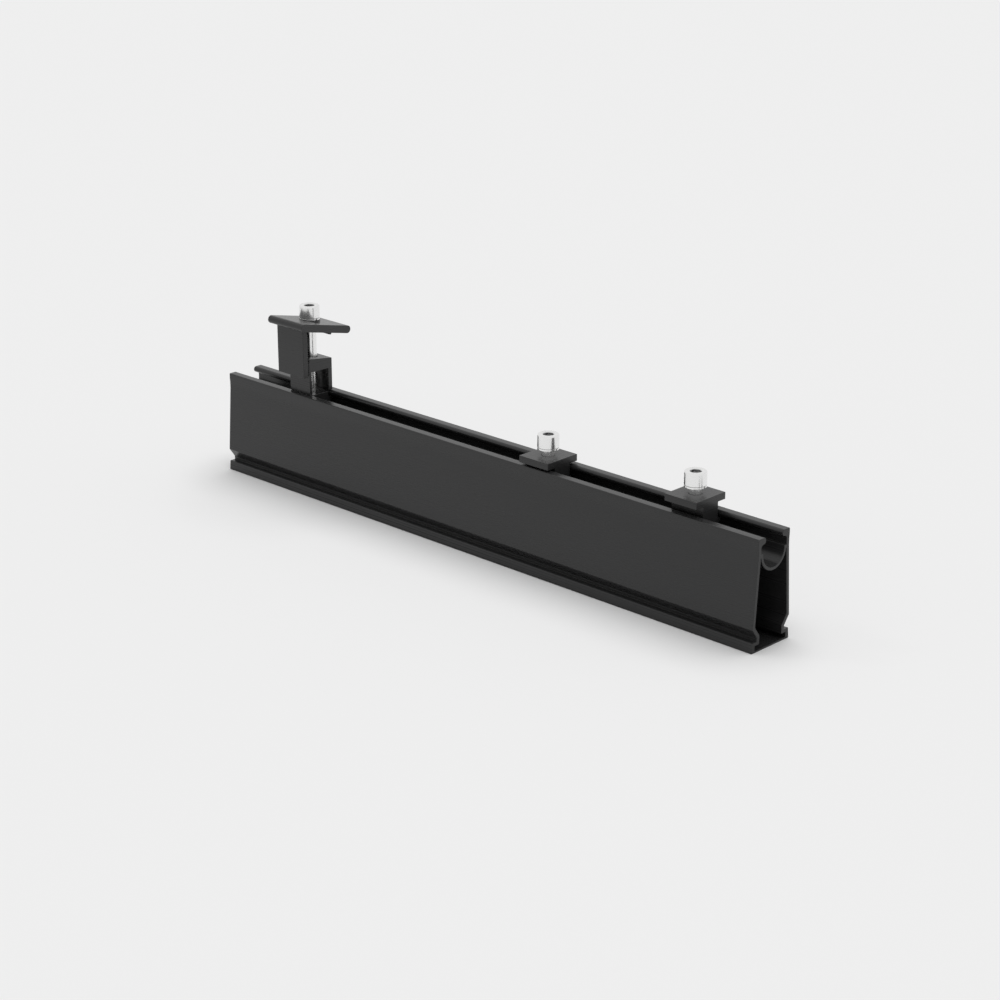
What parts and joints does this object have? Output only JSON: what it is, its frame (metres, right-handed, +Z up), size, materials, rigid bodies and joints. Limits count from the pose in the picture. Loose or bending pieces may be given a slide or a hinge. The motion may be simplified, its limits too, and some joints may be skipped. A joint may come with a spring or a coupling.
{
  "type": "inverter mounting bracket",
  "caption": "Short hollow roof rail with a round slot channel, a sloping-jaw clamp and two screwed slot anchors that hold an inverter or optimiser above the rail.",
  "frame": {"origin": "centre of the foot's underside, halfway along the rail", "axes": "+X along the rail from the clamp end to the open end, +Y to the back, +Z up"},
  "size_m": [0.44, 0.0413, 0.1225],
  "materials": {
    "black_anodised": "satin black anodised extrusion",
    "stainless_steel": "bright turned and rolled"
  },
  "bodies": {
    "rail": {"rail": "black_anodised"},
    "clamp_base": {"clamp_block": "black_anodised", "clamp_slot_nut": "black_anodised"},
    "clamp_jaw": {"clamp_jaw": "black_anodised", "clamp_washer": "stainless_steel"},
    "clamp_screw": {"clamp_screw": "stainless_steel"},
    "anchor_1": {"anchor_block_1": "black_anodised"},
    "anchor_washer_1": {"anchor_washer_1": "stainless_steel"},
    "anchor_screw_1": {"anchor_screw_1": "stainless_steel"},
    "anchor_2": {"anchor_block_2": "black_anodised"},
    "anchor_washer_2": {"anchor_washer_2": "stainless_steel"},
    "anchor_screw_2": {"anchor_screw_2": "stainless_steel"}
  },
  "joints": [
    {"name": "clamp_slide", "type": "slide", "parent": "rail", "child": "clamp_base", "axis": [1, 0, 0], "range_m": [-0.054, 0.089]},
    {"name": "jaw_lift", "type": "slide", "parent": "clamp_base", "child": "clamp_jaw", "axis": [0, 0, 1], "range_m": [-0.005, 0.004]},
    {"name": "clamp_screw_turn", "type": "hinge", "parent": "clamp_jaw", "child": "clamp_screw", "pos_m": [-0.1545, 0, 0.1], "axis": [0, 0, 1], "range_deg": [-1440, 1152]},
    {"name": "anchor_1_slide", "type": "slide", "parent": "rail", "child": "anchor_1", "axis": [1, 0, 0], "range_m": [-0.089, 0.043]},
    {"name": "washer_1_lift", "type": "slide", "parent": "anchor_1", "child": "anchor_washer_1", "axis": [0, 0, 1], "range_m": [-0.0035, 0.005]},
    {"name": "anchor_screw_1_turn", "type": "hinge", "parent": "anchor_washer_1", "child": "anchor_screw_1", "pos_m": [0.053, 0, 0.08], "axis": [0, 0, 1], "range_deg": [-1008, 1440]},
    {"name": "anchor_2_slide", "type": "slide", "parent": "rail", "child": "anchor_2", "axis": [1, 0, 0], "range_m": [-0.043, 0.0445]},
    {"name": "washer_2_lift", "type": "slide", "parent": "anchor_2", "child": "anchor_washer_2", "axis": [0, 0, 1], "range_m": [-0.0035, 0.005]},
    {"name": "anchor_screw_2_turn", "type": "hinge", "parent": "anchor_washer_2", "child": "anchor_screw_2", "pos_m": [0.164, 0, 0.08], "axis": [0, 0, 1], "range_deg": [-1008, 1440]}
  ],
  "couplings": [
    {"joint": "clamp_screw_turn", "follows": "jaw_lift", "rad_per_m": 5026.5},
    {"joint": "anchor_screw_1_turn", "follows": "washer_1_lift", "rad_per_m": 5026.5},
    {"joint": "anchor_screw_2_turn", "follows": "washer_2_lift", "rad_per_m": 5026.5}
  ]
}
